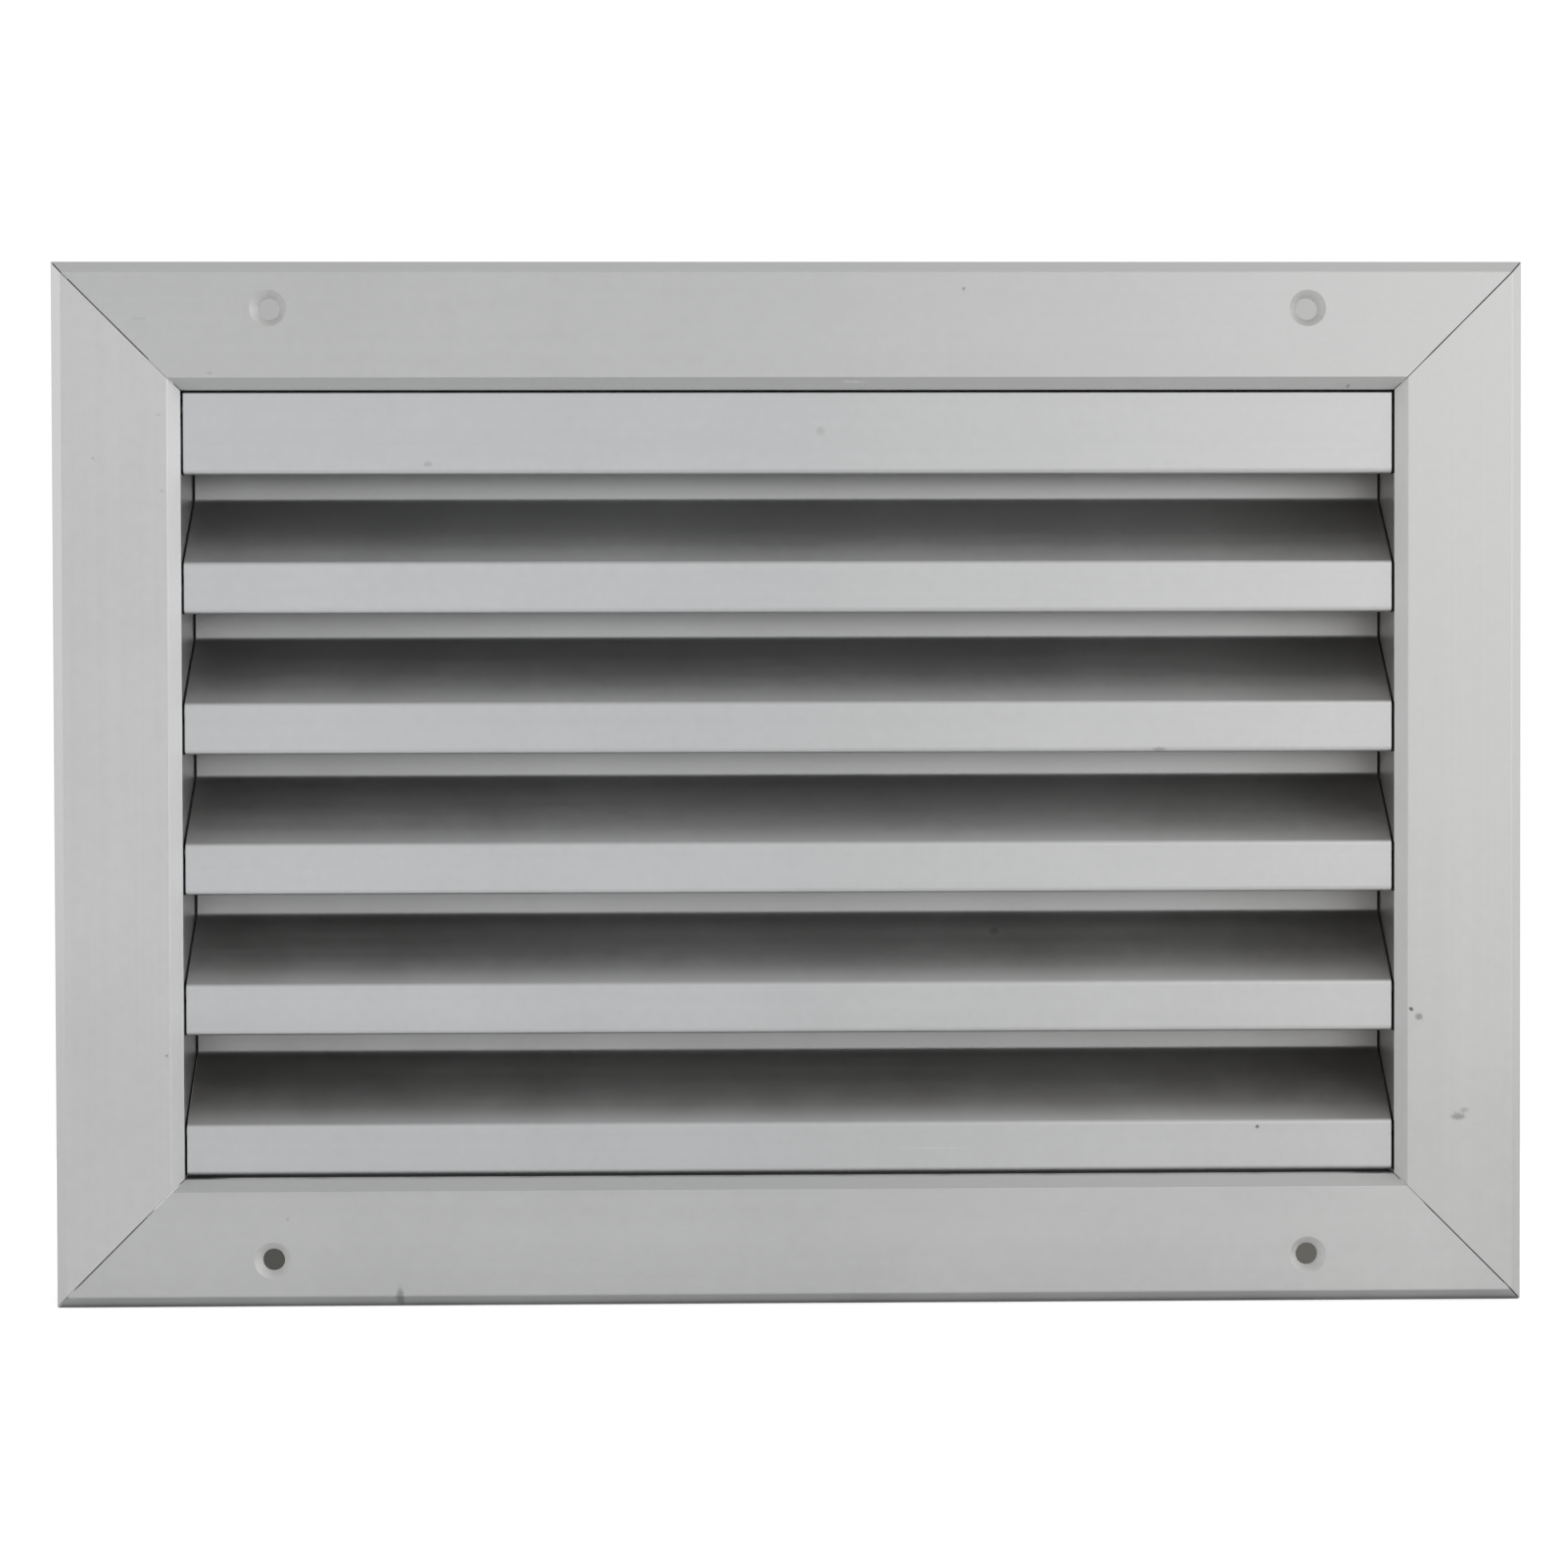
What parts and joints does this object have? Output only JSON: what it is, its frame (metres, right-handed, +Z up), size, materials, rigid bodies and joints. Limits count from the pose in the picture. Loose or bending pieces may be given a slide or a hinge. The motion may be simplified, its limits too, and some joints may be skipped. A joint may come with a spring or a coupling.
{
  "type": "weather louvre",
  "caption": "Rectangular aluminium weather louvre with a mitred flanged frame, fixed Z-section blades, a head bar and a rear wire mesh, for a wall air opening.",
  "frame": {"origin": "centre of the opening, on the wall plane that the flange's return seats on", "axes": "+X to the right seen from outside, +Y into the wall, +Z up"},
  "size_m": [0.345, 0.0315, 0.245],
  "materials": {
    "frame_aluminium": "satin natural anodised",
    "blade_aluminium": "satin natural anodised",
    "cleat_aluminium": "mill finish",
    "screw_steel": "zinc plated",
    "mesh_wire": "hot dip galvanised"
  },
  "bodies": {
    "root": {"bird_mesh": "mesh_wire", "blade_screws_left": "screw_steel", "blade_screws_right": "screw_steel", "corner_cleat_bottom_left": "cleat_aluminium", "corner_cleat_bottom_right": "cleat_aluminium", "corner_cleat_top_left": "cleat_aluminium", "corner_cleat_top_right": "cleat_aluminium", "frame_bottom_rail": "frame_aluminium", "frame_left_rail": "frame_aluminium", "frame_right_rail": "frame_aluminium", "frame_top_rail": "frame_aluminium", "head_bar": "blade_aluminium", "louvre_blade_1": "blade_aluminium", "louvre_blade_2": "blade_aluminium", "louvre_blade_3": "blade_aluminium", "louvre_blade_4": "blade_aluminium", "louvre_blade_5": "blade_aluminium"}
  },
  "joints": []
}
